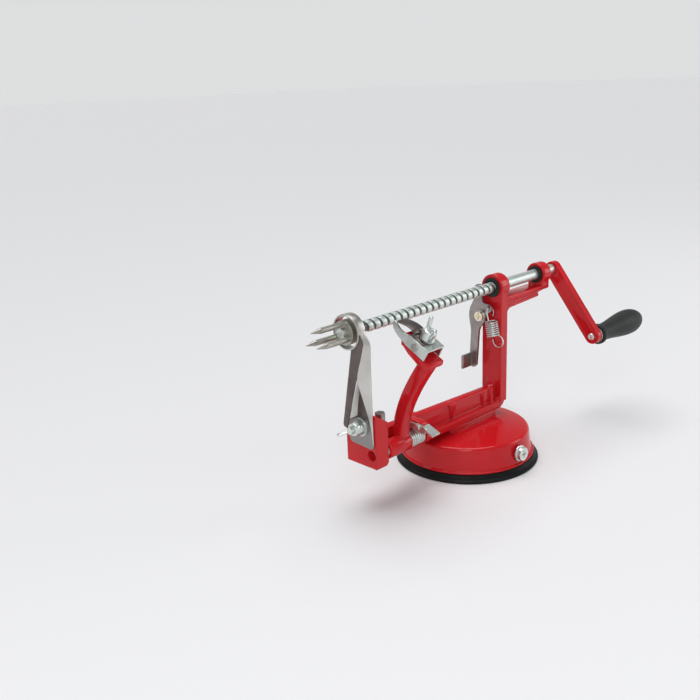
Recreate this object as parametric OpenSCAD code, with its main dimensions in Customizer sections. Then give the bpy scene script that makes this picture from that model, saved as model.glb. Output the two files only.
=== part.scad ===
// Hand cranked apple peeler, corer and slicer on a suction base.
// Millimetres. Z is up, X runs along the feed screw towards the crank, and the
// peeling arm stands on the -Y side. The origin is the middle of the suction
// cup's rim, on the table. The feed screw is drawn fully forward.

/* [Suction base] */
// Outer diameter of the rubber cup's rim
cup_d = 110; // [108:1:114]
// Diameter of the rolled flange at the foot of the cover
cover_flange_d = 103; // [102:0.5:105]
// Diameter of the cover's top edge
cover_top_d = 95.5; // [93:0.5:97]
// Height of the cover's flange above the table
cover_z = 6; // [5.8:0.1:6.6]
// Height of the cover's top
cover_h = 25; // [24.5:0.1:26]
// Wall thickness of the cover
cover_t = 1.6; // [1.2:0.1:1.8]
// Height of the plateau that carries the frame
plateau_h = 5.6; // [5:0.1:6]
// Height of the lever axle above the table
axle_z = 15.3; // [15:0.1:15.6]
// Diameter of the lever axle
axle_d = 6; // [5.5:0.1:6.4]
// Throw of the eccentric that pulls the cup up
cam_throw = 2; // [1.6:0.1:2.2]

/* [Frame] */
// Width of the rail's bottom flange
rail_w = 16; // [15:0.5:17]
// Thickness of the rail's bottom flange
flange_h = 6.2; // [5.6:0.1:6.4]
// Thickness of the rail's web
web_t = 7; // [6:0.5:8]
// Front face of the post
post_x = 31; // [30.5:0.1:31.5]
// Width of the post across the rail
post_w = 18; // [17:0.5:19]
// Thickness of the post along the rail
post_t = 8.2; // [7.5:0.1:9]
// Outer diameter of the front bearing loop
loop_d = 20; // [19.5:0.1:21]
// Outer diameter of the rear bearing loop
rear_loop_d = 18; // [17.5:0.1:19]
// Length of each bearing loop
loop_l = 10; // [9:0.5:11]
// Front face of the rear bearing loop
rear_loop_x = 88; // [86:0.5:90]
// Front face of the block that carries the slicer
block_x = -117; // [-118:0.5:-116.5]
// Thickness of the block
block_t = 12; // [11:0.5:12]
// Height of the block's top
block_top = 71; // [70:0.5:72]

/* [Feed screw] */
// Height of the feed screw's axis above the table
shaft_h = 128; // [126:0.5:130]
// Diameter of the feed screw
shaft_d = 8.4; // [8.2:0.1:8.6]
// Advance of the feed screw in one turn, which is the slice thickness
pitch = 6.5; // [6.3:0.05:6.6]
// Width of the thread groove along the screw
groove_w = 2.2; // [2.1:0.05:2.4]
// Depth of the thread groove
groove_depth = 1; // [0.9:0.05:1.1]
// Radial play of the screw in its bushes
shaft_play = 0.05; // [0.03:0.01:0.08]
// Diameter of the fork hub
hub_d = 17; // [16:0.5:18]
// Length of the prongs in front of the hub
prong_l = 28; // [24:1:32]
// Diameter of a prong
prong_d = 3.8; // [3.4:0.1:4]
// Radius of the circle that the prongs stand on
prong_r = 6; // [5.8:0.1:6.2]

/* [Crank] */
// Distance from the screw axis to the knob axis
crank_r = 64.5; // [60:0.5:68]
// Swing of the crank from straight down at rest
crank_angle = 38; // [30:1:45]
// Width of the crank bar
crank_w = 12.6; // [12:0.2:14]
// Thickness of the crank bar
crank_t = 6; // [5:0.5:7]
// Length of the knob
knob_l = 68; // [62:1:72]
// Largest diameter of the knob
knob_d = 21; // [19:0.5:23]

/* [Peeling arm] */
// Distance of the arm's pivot from the plane of the frame
pivot_y = -12.8; // [-13.2:0.1:-12.6]
// Height of the arm's pivot
pivot_z = 41.8; // [41.6:0.1:42.4]
// Diameter of the pivot rod
rod_d = 5; // [4.6:0.1:5.2]
// Middle of the arm along the rail
arm_x = -87; // [-87.5:0.1:-86.5]
// Thickness of the arm along the rail
arm_t = 9; // [8.5:0.1:9.5]
// Slope of the blade holder
head_tilt = 28; // [26:0.5:30]
// Length of the blade holder
holder_l = 17.6; // [17:0.1:18]
// Width of the blade holder
holder_w = 16.4; // [16:0.1:17]
// Sheet thickness of the blade holder
holder_t = 1.2; // [1:0.1:1.3]

/* [Slicer] */
// Outer diameter of the coring ring
ring_d = 24; // [23.5:0.1:25]
// Length of the coring ring along the screw
ring_l = 6.8; // [6:0.2:7]
// Sheet thickness of the slicer
blade_t = 1; // [0.8:0.05:1.1]

/* [Release lever] */
// Plate thickness of the release lever
lever_t = 2; // [1.6:0.1:2.2]
// Curls of the release spring
release_curls = 7; // [6:1:7]
// Curls of the arm spring
arm_curls = 7; // [6:1:7]

/* [Hidden] */
$fn = 64;
red = "firebrick";
zinc = "silver";
steel = "darkgray";
black = [0.15, 0.15, 0.15];
eps = 0.01;
seat = 0.02;

// Suction base
cup_r = cup_d / 2;
flange_r = cover_flange_d / 2;
wall_r = flange_r - 2;
top_r = cover_top_d / 2;
edge_r = 2.5;
flange_t = 1.4;
cup_top = cover_z - 0.3;
cup_mid = 8.4;
cup_thick = 4.4;
plateau_l = 58;
plateau_w = 14;
plateau_x = 4;
dome_h = 2.4;
rail_z = cover_h + plateau_h;
axle_r = axle_d / 2;
cam_pin_r = 2.2;
slot_play = 0.6;
eye_half = 3.4;
web_disc_t = 2.2;
axle_near = -max(wall_r, top_r) - 0.2;
axle_screw_l = 12;
lever_in = max(flange_r, top_r) + 0.7;
lever_thick = 3;
lever_high = 8;
lever_arc = 52;
axle_far = lever_in + lever_thick + 1;
base_screw_x = 20;
base_head_r = 4.3;
dome_seat = cover_h - cover_t + dome_h * (1 - pow((base_screw_x + base_head_r) / (top_r - edge_r), 2));
base_seat = min(dome_seat, cover_h - eps) - seat;

// Frame
flange_top = rail_z + flange_h;
web_front = 52.6;
web_rear = 48.4;
post_back = post_x + post_t;
loop_r = loop_d / 2;
rear_loop_r = rear_loop_d / 2;
bush_r = loop_r - 3.1;
rear_bush_r = rear_loop_r - 2.8;
bush_play = 0.05;
bar_top = shaft_h - 8.8;
bar_h = 6.4;
bar_w = 14;
block_near = pivot_y - 4.4;
block_far = 11;
block_z = rail_z + 2;
block_back = block_x + block_t;
lug_x = -67.5;
lug_t = 6.5;
hub_r = 6.5;
stud_y = -4.5;
stud_z = 61.5;
stud_r = 2.5;
set_x = block_x + 9.4;
set_y = pivot_y + 0.4;
set_seat = block_top - 6.6;
rod_in = 6;

// Feed screw
shaft_r = shaft_d / 2;
crest_r = shaft_r - 0.02;
root_r = shaft_r - groove_depth;
bore_r = shaft_r + shaft_play;
facets = 20;
lever_x = post_x - 5;
thread_front = -117;
thread_back = post_x + 3.5;
journal_r = 3;
hub_back = thread_front;
hub_front = hub_back - 9;
neck_x = rear_loop_x + loop_l + 3;
crank_x = rear_loop_x + loop_l + 13;
prong_in = 6;
groove_phase = lever_x - pitch / 4 - groove_w / 2;
first_groove = groove_phase - pitch * floor((groove_phase - thread_front - 2) / pitch);
groove_turns = floor((thread_back - 2 - groove_w - first_groove) / pitch);
groove_steps = groove_turns * facets;

// Crank
crank_back = crank_x + crank_t;
knob_y = -crank_r * sin(crank_angle);
knob_z = shaft_h - crank_r * cos(crank_angle);
pin_r = 2.5;
knob_x = crank_back + 1.4;

// Peeling arm
rod_r = rod_d / 2;
arm_front = arm_x - arm_t / 2;
arm_back = arm_x + arm_t / 2;
head_y = -36.7;
head_z = 120.7;
slab_top = -holder_t - 0.1;
slab_z = -11.5;
flange_drop = 8.2;
holder_in = 8.3;
holder_out = holder_in - holder_l;
blade_sheet = 0.8;
clamp_r = 2;
clamp_foot = -2.9;
catch_r = 7.6;
catch_pin_r = 1.2;
latch_y = pivot_y - 8.4;
latch_z = pivot_z + 11.8;
latch_x = arm_back + 1.8;
latch_t = 1.5;
latch_lug_x = latch_x + latch_t + 0.3;
latch_lug_t = 6;

// Release lever
lever_y = 5.8;
lever_z = shaft_h - 22;
boss_y = lever_y + 3.6;
peg_y = -7.4;
peg_z = shaft_h - 44.1;
peg_r = 1.6;
hook_y = -1.5;
hook_z = shaft_h - 14.5;

// Slicer
slicer_near = pivot_y - 2.6;

module along_x(x, r, l, y = 0, z = 0) {
    translate([x, y, z]) rotate([0, 90, 0]) cylinder(r = r, h = l);
}

module along_y(y, r, l, x = 0, z = 0) {
    translate([x, y, z]) rotate([-90, 0, 0]) cylinder(r = r, h = l);
}

// Flat outline in Y and Z, made into a plate from x to x + t
module yz_plate(x, t) {
    translate([x, 0, 0]) rotate([90, 0, 90]) linear_extrude(t) children();
}

// Flat outline in X and Z, made into a plate from y to y + t
module xz_plate(y, t) {
    translate([0, y + t, 0]) rotate([90, 0, 0]) linear_extrude(t) children();
}

// Flat bar from a to b with round ends of radius r, its sides a hair inside them
module link(a, b, r) {
    d = b - a;
    side = r - seat;
    translate(a) circle(r);
    translate(b) circle(r);
    translate(a) rotate(atan2(d[1], d[0])) translate([0, -side]) square([norm(d), 2 * side]);
}

// Quarter circle of points about c, from angle a0 to angle a1
function arc_points(c, r, a0, a1, n = 6) =
    [for (i = [0:n]) let (a = a0 + (a1 - a0) * i / n) [c[0] + r * cos(a), c[1] + r * sin(a)]];

function bezier(p, t) = p[0] * (1 - t) * (1 - t) + p[1] * 2 * t * (1 - t) + p[2] * t * t;
function bezier_slope(p, t) = (p[1] - p[0]) * 2 * (1 - t) + (p[2] - p[1]) * 2 * t;

// Round wire along a path: six sided rings carried along the path without twist
function unit(v) = v / norm(v);
function path_dir(p, i) = unit(p[min(i + 1, len(p) - 1)] - p[max(i - 1, 0)]);
function any_side(t) = unit(cross(t, abs(t[0]) < 0.9 ? [1, 0, 0] : [0, 1, 0]));
function level(s, t) = unit(s - t * (s * t));
function wire_sides(p) =
    [for (i = 0, s = any_side(path_dir(p, 0)); i < len(p);
        i = i + 1, s = i < len(p) ? level(s, path_dir(p, i)) : s) s];
function wire_points(p, r) = let (s = wire_sides(p))
    [for (i = [0:len(p) - 1]) let (t = path_dir(p, i), u = s[i], w = cross(t, u))
        for (k = [0:5]) p[i] + r * (u * cos(60 * k) + w * sin(60 * k))];
function wire_faces(n) = concat(
    [for (k = [1:4]) [0, k, k + 1]],
    [for (k = [1:4]) [6 * (n - 1), 6 * (n - 1) + k + 1, 6 * (n - 1) + k]],
    [for (i = [0:n - 2]) for (k = [0:5]) let (j = (k + 1) % 6) [6 * i + k, 6 * i + 6 + k, 6 * i + 6 + j]],
    [for (i = [0:n - 2]) for (k = [0:5]) let (j = (k + 1) % 6) [6 * i + k, 6 * i + 6 + j, 6 * i + j]]);

module wire(p, r) {
    polyhedron(points = wire_points(p, r), faces = wire_faces(len(p)), convexity = 10);
}

// Least distance between rings of a wire that lie at least half a curl apart
function wire_gap(p, r, near) =
    min([for (i = [0:len(p) - 1]) for (j = [i + near:1:len(p) - 1]) norm(p[i] - p[j])]) - 2 * r;

// Rubber suction cup, domed underneath and thick at the rim
module suction_cup() color(black)
    rotate_extrude($fn = 96) polygon([
        [0, cup_thick], [14, cup_thick - 0.2], [36, 2.6], [cup_r - 6, 0.4], [cup_r - 4.5, 0],
        [cup_r - 0.6, 0], [cup_r, 0.6], [cup_r, 1.6], [cup_r - 3.2, cup_top], [wall_r - cover_t - 3, cup_top],
        [wall_r - cover_t - 6, cup_top + 1.2], [12, cup_mid], [0, cup_mid]
    ]);

// Gently domed top of the cover, from its edge to the middle
function dome_points(z, n = 6) =
    [for (i = [0:n]) let (f = 1 - (i + 0.5) / (n + 0.5)) [(top_r - edge_r) * f, z + dome_h * (1 - f * f)]];

// Pressed steel cover with a rolled flange and a raised plateau for the frame
module base_cover() color(red)
    difference() {
        union() {
            rotate_extrude($fn = 96) polygon(concat(
                [[flange_r - 0.5, cover_z], [flange_r, cover_z + 0.5], [flange_r, cover_z + flange_t],
                 [wall_r, cover_z + flange_t]],
                arc_points([top_r - edge_r, cover_h - edge_r], edge_r, 5, 90),
                dome_points(cover_h),
                [for (i = [6:-1:0]) dome_points(cover_h - cover_t)[i]],
                arc_points([top_r - edge_r, cover_h - edge_r], edge_r - cover_t, 90, 5),
                [[wall_r - cover_t, cover_z]]));
            translate([plateau_x, 0, cover_h - eps]) linear_extrude(plateau_h + eps)
                link([-(plateau_l - plateau_w) / 2, 0], [(plateau_l - plateau_w) / 2, 0], plateau_w / 2);
        }
        along_y(-cup_r, axle_r + 0.08, cup_d, 0, axle_z);
        for (x = [-base_screw_x, base_screw_x])
            translate([x, 0, cover_h - 5]) cylinder(r = stud_r + seat, h = plateau_h + 10);
    }

// Steel eye that ties the cup's middle to the eccentric
module cup_stud() color(zinc)
    difference() {
        union() {
            translate([0, 0, cup_mid + 0.05]) cylinder(r = 10, h = 1.2);
            translate([-cam_throw - 4.6, -eye_half, cup_mid + 1])
                cube([2 * cam_throw + 9.2, 2 * eye_half, axle_z + cam_throw + 4.4 - cup_mid - 1]);
        }
        for (x = [-cam_throw, cam_throw])
            along_y(-eye_half - 1, cam_pin_r + slot_play, 2 * eye_half + 2, x, axle_z + cam_throw);
        translate([-cam_throw, -eye_half - 1, axle_z + cam_throw - cam_pin_r - slot_play])
            cube([2 * cam_throw, 2 * eye_half + 2, 2 * (cam_pin_r + slot_play)]);
    }

// Axle through the base with the eccentric pin between two discs
module lever_axle() color(zinc)
    difference() {
        union() {
            along_y(axle_near, axle_r, -axle_near - eye_half - 0.4, 0, axle_z);
            along_y(eye_half + 0.4, axle_r, axle_far - eye_half - 0.4, 0, axle_z);
            along_y(-eye_half - 0.4 - web_disc_t, cam_throw + 3.2, web_disc_t, 0, axle_z);
            along_y(eye_half + 0.4, cam_throw + 3.2, web_disc_t, 0, axle_z);
            along_y(-eye_half - 0.5, cam_pin_r, 2 * eye_half + 1, 0, axle_z + cam_throw);
        }
        along_y(axle_near - 1, 1.5 + seat, axle_screw_l + 1, 0, axle_z);
        translate([0, axle_far - 2.5, axle_z - 10]) cylinder(r = 1 + seat, h = 20);
    }

// Lever curved round the far side of the cover, lying flat when the cup is drawn tight
module suction_lever() color(red)
    difference() {
        union() {
            along_y(lever_in, 5.6, lever_thick + 1, 0, axle_z);
            intersection() {
                difference() {
                    translate([0, 0, axle_z - lever_high / 2])
                        cylinder(r = lever_in + lever_thick, h = lever_high, $fn = 96);
                    translate([0, 0, axle_z - lever_high]) cylinder(r = lever_in, h = 2 * lever_high, $fn = 96);
                }
                linear_extrude(axle_z + 20) polygon([
                    [0, 0], [0, 80], 80 * [sin(lever_arc / 2), cos(lever_arc / 2)],
                    80 * [sin(lever_arc), cos(lever_arc)]]);
            }
            rotate(-lever_arc) along_y(lever_in, 6.5, lever_thick, 0, axle_z);
        }
        along_y(0, axle_r + seat, cup_d, 0, axle_z);
        translate([0, axle_far - 2.5, axle_z - 20]) cylinder(r = 1 + seat, h = 40);
    }

// Cross pin that locks the lever on its axle
module lever_pin() color(zinc)
    translate([0, axle_far - 2.5, axle_z - 5.4]) cylinder(r = 1, h = 10.8);

module axle_washer() color(zinc)
    difference() {
        along_y(axle_near - 1.1, 6, 1.1, 0, axle_z);
        along_y(axle_near - 2, 1.5 + seat, 4, 0, axle_z);
    }

// Cross head screw that holds the axle on the near side
module axle_screw() color(zinc)
    difference() {
        union() {
            along_y(axle_near - 4.3, 5, 3.2, 0, axle_z);
            along_y(axle_near - 1.2, 1.5, axle_screw_l, 0, axle_z);
        }
        for (a = [0, 90])
            translate([0, axle_near - 4.3, axle_z]) rotate([0, a, 0]) cube([5.6, 3, 1.1], center = true);
    }

// Two screws from inside the cover into the rail
module base_screws() color(zinc)
    for (x = [-base_screw_x, base_screw_x])
        translate([x, 0, base_seat - 3.2]) {
            cylinder(r = base_head_r, h = 3.2);
            cylinder(r = stud_r, h = rail_z - base_seat + 14);
        }

// Rail, post and top bar seen from the side, one web thick
module frame_web() {
    xz_plate(-web_t / 2, web_t) polygon(concat(
        [[block_back - 4, rail_z + 1], [post_back - 9, rail_z + 1], [post_back - 2, rail_z + 9],
         [post_back - 2, web_rear]],
        arc_points([post_x - 6, web_rear + 6], 6, 0, -90),
        [[block_back - 4, web_front]]));
}

// Stiffening rib on the web: wide at the top, narrow at the flange
module web_rib(x, top, r) {
    for (s = [-1, 1])
        translate([x, s * web_t / 2, flange_top - 0.5])
            cylinder(r1 = 0.8, r2 = r, h = top - flange_top - 0.5, $fn = 32);
}

// Round topped rib on the web, next to the post
module arch_rib(x, top) {
    for (s = [-1, 1])
        translate([x, s * web_t / 2, flange_top - 0.5]) {
            cylinder(r = 2.4, h = top - flange_top - 1.9);
            translate([0, 0, top - flange_top - 1.9]) sphere(r = 2.4);
        }
}

// Bearing loop on a pillar that rises from z0
module loop(x, r, w, z0) {
    along_x(x, r, loop_l, 0, shaft_h);
    translate([x, -w / 2, z0]) cube([loop_l, w, shaft_h - z0]);
}

// Front block with a sloping top
module front_block() {
    difference() {
        xz_plate(block_near, block_far - block_near) polygon([
            [block_x, block_z], [block_back - 2, block_z], [block_back, block_z + 2],
            [block_back, block_top - 7], [block_x + 1.5, block_top], [block_x, block_top]]);
        translate([block_x, block_near, 0]) rotate(45) cube([2.4, 2.4, 300], center = true);
    }
}

// One casting: block, rail, post, two bearing loops and the lugs
module frame() color(red)
    difference() {
        union() {
            xz_plate(-rail_w / 2, rail_w) polygon(concat(
                [[block_back - 2, flange_top], [block_back - 2, rail_z]],
                arc_points([post_back - 8, rail_z + 8], 8, -90, 0),
                [[post_back, flange_top + 4], [post_x, flange_top + 4], [post_x - 4, flange_top]]));
            frame_web();
            web_rib(-22.4, 50.6, 4);
            web_rib(15, 48.6, 2.6);
            arch_rib(25.4, 50);
            translate([post_x, -post_w / 2, flange_top]) cube([post_t, post_w, shaft_h - flange_top]);
            loop(post_x, loop_r, post_w, bar_top - bar_h);
            loop(rear_loop_x, rear_loop_r, bar_w, bar_top - 3.6);
            xz_plate(-bar_w / 2, bar_w) polygon([
                [post_x + 1, bar_top], [post_x + 1, bar_top - bar_h - 0.8], [post_back, bar_top - bar_h - 0.8],
                [rear_loop_x + 1, bar_top - 3.6], [rear_loop_x + 1, bar_top]]);
            xz_plate(-bar_w / 2, bar_w) polygon(concat(
                [[post_back - 1, bar_top - bar_h + 1], [post_back - 1, bar_top - bar_h - 7]],
                arc_points([post_back + 7, bar_top - bar_h - 7], 7, 180, 90),
                [[post_back + 7, bar_top - bar_h + 1]]));
            front_block();
            along_x(lug_x, hub_r, lug_t, pivot_y, pivot_z);
            translate([lug_x, pivot_y, pivot_z - 3]) cube([lug_t, -pivot_y, 2 * 3]);
            yz_plate(latch_lug_x, latch_lug_t)
                link([latch_y, latch_z], [-1, latch_z], 3.4);
            along_x(lever_x + lever_t / 2 + 0.3, 4.5, 6, lever_y, lever_z);
            along_x(lever_x + 2.6, peg_r, post_x - lever_x - 1.6, peg_y, peg_z);
        }
        along_x(post_x - 1, bush_r + bush_play, loop_l + 2, 0, shaft_h);
        along_x(rear_loop_x - 1, rear_bush_r + bush_play, loop_l + 2, 0, shaft_h);
        along_x(block_x - 1, rod_r + seat, block_t + 2, pivot_y, pivot_z);
        along_x(block_x - 1, 3.7, rod_in + 1, pivot_y, pivot_z);
        along_x(lug_x - 1, rod_r + seat, lug_t + 2, pivot_y, pivot_z);
        along_x(block_x - 1, stud_r + seat, block_t + 2, stud_y, stud_z);
        along_x(lever_x - 1, 2 + seat, 12, lever_y, lever_z);
        along_x(latch_lug_x - 1, 1.5 + seat, latch_lug_t + 2, latch_y, latch_z);
        translate([set_x, set_y, pivot_z + rod_r]) cylinder(r = 2 + seat, h = 40);
        translate([set_x, set_y, set_seat]) cylinder(r = 4, h = 20);
        for (x = [-base_screw_x, base_screw_x])
            translate([x, 0, rail_z - 1]) cylinder(r = stud_r + seat, h = 13);
    }

// Plastic bush with a thin collar on its front, turning with the screw
module bush(x, r) {
    difference() {
        union() {
            along_x(x, r, loop_l, 0, shaft_h);
            along_x(x - 1, r + 0.6, 0.7, 0, shaft_h);
            along_x(x - 0.5, r - 0.5, 1, 0, shaft_h);
        }
        along_x(x - 2, bore_r, loop_l + 4, 0, shaft_h);
    }
}

module front_bush() color(black) bush(post_x, bush_r);

module rear_bush() color(black) bush(rear_loop_x, rear_bush_r);

// Threaded length: a helical groove of groove_steps steps between two plain ends
function helix_point(i, r, lift) =
    [r * cos(360 * i / facets), r * sin(360 * i / facets), first_groove + pitch * i / facets + lift];
function ring_point(i, z) = [crest_r * cos(360 * i / facets), crest_r * sin(360 * i / facets), z];
function quad(a, b, c, d) = [[a, b, c], [a, c, d]];
function fan(f) = [for (k = [1:len(f) - 2]) [f[0], f[k], f[k + 1]]];
function flat(lists) = [for (one = lists) for (item = one) item];

module threaded_rod() {
    n = facets;
    last = groove_steps;
    points = concat(
        flat([for (i = [0:last]) [
            helix_point(i, crest_r, 0), helix_point(i, root_r, 0),
            helix_point(i, root_r, groove_w), helix_point(i, crest_r, groove_w)]]),
        [for (i = [0:n - 1]) ring_point(i, thread_front)],
        [for (i = [0:n - 1]) ring_point(i, thread_back)]);
    bottom = 4 * (last + 1);
    top = bottom + n;
    faces = flat([
        flat([for (i = [0:n - 2])
            quad(bottom + i, 4 * i, 4 * i + 4, bottom + i + 1)]),
        fan([bottom + n - 1, 4 * (n - 1), 4 * n, 3, 0, bottom]),
        flat([for (i = [0:last - n - 1])
            quad(4 * i + 3, 4 * (i + n), 4 * (i + n + 1), 4 * i + 7)]),
        flat([for (i = [0:last - 1]) quad(4 * i, 4 * i + 1, 4 * i + 5, 4 * i + 4)]),
        flat([for (i = [0:last - 1]) quad(4 * i + 1, 4 * i + 2, 4 * i + 6, 4 * i + 5)]),
        flat([for (i = [0:last - 1]) quad(4 * i + 3, 4 * i + 7, 4 * i + 6, 4 * i + 2)]),
        quad(0, 3, 2, 1),
        quad(4 * last, 4 * last + 1, 4 * last + 2, 4 * last + 3),
        flat([for (i = [1:n - 1])
            quad(4 * (last - n + i) + 3, top + i, top + (i + 1) % n, 4 * (last - n + i) + 7)]),
        fan([4 * (last - n) + 7, 4 * (last - n) + 3, 4 * last, 4 * last + 3, top, top + 1]),
        fan([for (i = [0:n - 1]) bottom + i]),
        fan([for (i = [n - 1:-1:0]) top + i])
    ]);
    polyhedron(points = points, faces = faces, convexity = 20);
}

// Feed screw: journal for the fork, threaded length, plain length and crank neck
module feed_screw() color(zinc)
    union() {
        translate([0, 0, shaft_h]) rotate([0, 90, 0]) threaded_rod();
        along_x(hub_front, journal_r, thread_front - hub_front + 0.8, 0, shaft_h);
        along_x(thread_back - 0.8, shaft_r, neck_x - thread_back + 0.8, 0, shaft_h);
        along_x(neck_x - 1, journal_r, crank_back + 4.2 - neck_x, 0, shaft_h);
    }

// Hub that carries the three prongs
module fork_hub() color(steel)
    difference() {
        along_x(hub_front, hub_d / 2, hub_back - hub_front - seat, 0, shaft_h);
        along_x(hub_front - 1, journal_r + seat, 20, 0, shaft_h);
        for (a = [90, 210, 330])
            along_x(hub_front - 1, prong_d / 2 + seat, prong_in + 1,
                prong_r * cos(a), shaft_h + prong_r * sin(a));
    }

// Three pointed prongs that hold the apple
module fork_prongs() color(zinc)
    for (a = [90, 210, 330])
        translate([hub_front - prong_l, prong_r * cos(a), shaft_h + prong_r * sin(a)]) rotate([0, 90, 0]) {
            cylinder(r1 = 0.3, r2 = prong_d / 2, h = 8);
            translate([0, 0, 8]) cylinder(r = prong_d / 2, h = prong_l - 8 + prong_in - 0.1);
        }

// Hexagon headed screw that draws the hub onto the journal
module fork_screw() color(zinc)
    translate([hub_front - 3, 0, shaft_h]) rotate([0, 90, 0]) cylinder(r = 3.6, h = 3 - seat, $fn = 6);

// Flat crank bar with round ends
module crank_arm() color(red)
    difference() {
        yz_plate(crank_x, crank_t) link([0, shaft_h], [knob_y, knob_z], crank_w / 2);
        along_x(crank_x - 1, journal_r + seat, crank_t + 2, 0, shaft_h);
        along_x(crank_x - 1, pin_r + seat, crank_t + 2, knob_y, knob_z);
    }

// Nut that clamps the crank on the neck
module crank_nut() color(zinc)
    difference() {
        translate([crank_back, 0, shaft_h]) rotate([0, 90, 0]) cylinder(r = 4.6, h = 2.6, $fn = 6);
        along_x(crank_back - 1, journal_r + seat, 8, 0, shaft_h);
    }

// Riveted pin that the knob turns on
module crank_pin() color(zinc)
    union() {
        along_x(crank_x - 1.6, pin_r + 0.9, 1.6, knob_y, knob_z);
        along_x(crank_x - 0.5, pin_r, crank_t + knob_l - 6, knob_y, knob_z);
    }

module knob_washer() color(zinc)
    difference() {
        along_x(crank_back, 6.5, 1, knob_y, knob_z);
        along_x(crank_back - 1, pin_r + seat, 4, knob_y, knob_z);
    }

// Turned knob: collar, waist and bulb
module crank_knob() color(black)
    difference() {
        translate([knob_x, knob_y, knob_z]) rotate([0, 90, 0]) rotate_extrude() polygon(concat(
            [[0, 0], [knob_d * 0.36, 0], [knob_d * 0.4, 1], [knob_d * 0.4, 3.5], [knob_d * 0.35, 6]],
            [for (i = [0:8]) let (a = 180 * i / 8)
                [knob_d * (0.418 - 0.082 * cos(a)), 8 + (knob_l - 28) * i / 8]],
            [for (i = [1:6]) let (a = 90 * i / 6) [knob_d / 2 * cos(a), knob_l - 20 + 20 * sin(a)]]));
        along_x(knob_x - 1, pin_r + 0.06, knob_l - 6, knob_y, knob_z);
    }

// Steel lever: the finger rides in the thread, the tail ends in a thumb tab
module release_lever() color(steel)
    difference() {
        union() {
            yz_plate(lever_x - lever_t / 2, lever_t) {
                translate([boss_y, lever_z]) circle(8);
                link([boss_y - 1, lever_z + 3], [hook_y + 1, hook_z - 1.2], 3.4);
                link([boss_y - 0.6, lever_z + 4], [shaft_r + 4.4, shaft_h - 1.2], 3.6);
                link([boss_y + 2, lever_z - 5], [boss_y + 4.2, lever_z - 40], 3.5);
            }
            translate([lever_x - 0.5, shaft_r - 0.75, shaft_h - 1.1]) cube([1, 2.5, 2.2]);
            translate([lever_x - 11, boss_y + 6.1, lever_z - 43.3]) cube([11, 2, 11]);
        }
        along_x(lever_x - 5, 2.1, 10, lever_y, lever_z);
        along_x(lever_x - 5, 1.3, 10, hook_y, hook_z);
    }

// Shouldered brass screw that the release lever turns on
module lever_pivot_screw() color("goldenrod")
    difference() {
        union() {
            along_x(lever_x - lever_t / 2 - 3.6, 3.8, 2.4, lever_y, lever_z);
            along_x(lever_x - lever_t / 2 - 1.3, 2, 12, lever_y, lever_z);
        }
        for (a = [0, 90])
            translate([lever_x - lever_t / 2 - 3.6, lever_y, lever_z]) rotate([a, 0, 0])
                cube([2.4, 4.6, 1], center = true);
    }

module lever_washer() color(zinc)
    difference() {
        along_x(lever_x - lever_t / 2 - 1.1, 4.2, 0.8, lever_y, lever_z);
        along_x(lever_x - 6, 2 + seat, 8, lever_y, lever_z);
    }

// Extension spring: a loop round the peg, the curls, and a loop through the lever
spring_r = 4.2;
spring_wire = 0.55;
curl_rise = 1.65;
peg_loop_r = 4.8;
hook_loop_r = 4;
spring_peg = [lever_x, peg_y, peg_z];
spring_hook = [lever_x, hook_y, hook_z];
spring_axis = unit(spring_hook - spring_peg);
spring_side = [0, spring_axis[2], -spring_axis[1]];
peg_loop = spring_peg + [spring_r, 0, 0] + spring_axis * (peg_loop_r - spring_wire - peg_r - 0.05);
spring_foot = peg_loop - [spring_r, 0, 0] + spring_axis * peg_loop_r;
function spring_at(a) = spring_foot + spring_axis * curl_rise * a / 360
    + spring_r * ([cos(a), 0, 0] + spring_side * sin(a));
curl_end = spring_at(360 * release_curls + 180);
hook_loop = spring_hook - spring_axis * hook_loop_r;
release_path = concat(
    [for (i = [0:11]) let (a = 20 - 25 * i)
        peg_loop + peg_loop_r * (spring_side * cos(a) + spring_axis * sin(a))],
    [for (i = [0:8 * release_curls + 4]) spring_at(360 * i / 8)],
    [curl_end + spring_axis * 1.2 - spring_side * 1.2],
    [for (i = [0:10]) let (a = 195 - 25 * i)
        hook_loop + hook_loop_r * ([cos(a), 0, 0] + spring_axis * sin(a))]);

module release_spring() color(zinc) wire(release_path, spring_wire);

// Rod that the peeling arm turns on, sunk into the block's front face
module pivot_rod() color(zinc)
    along_x(block_x + rod_in, rod_r, lug_x + lug_t - block_x - rod_in, pivot_y, pivot_z);

module pivot_washer() color(zinc)
    difference() {
        along_x(block_back, rod_r + 2.1, 1, pivot_y, pivot_z);
        along_x(block_back - 1, rod_r + seat, 4, pivot_y, pivot_z);
    }

// Hexagon headed screw in the block's top that locks the pivot rod
module pivot_set_screw() color(zinc)
    union() {
        translate([set_x, set_y, set_seat]) cylinder(r = 3.6, h = 6, $fn = 6);
        translate([set_x, set_y, pivot_z + rod_r + 0.1]) cylinder(r = 2, h = set_seat - pivot_z - rod_r + 1);
    }

// Head of the arm: local Y along the slope, local Z square to the holder's top
module at_head() {
    translate([arm_x, head_y, head_z]) rotate([head_tilt, 0, 0]) children();
}

arm_curve = [[pivot_y, pivot_z], [-8.6, 65.5], [-38, 105]];
arm_steps = 16;
function arm_side(i, s) = let (t = i / arm_steps, d = unit(bezier_slope(arm_curve, t)))
    bezier(arm_curve, t) + s * (4.2 + 0.6 * t) * [-d[1], d[0]];

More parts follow.
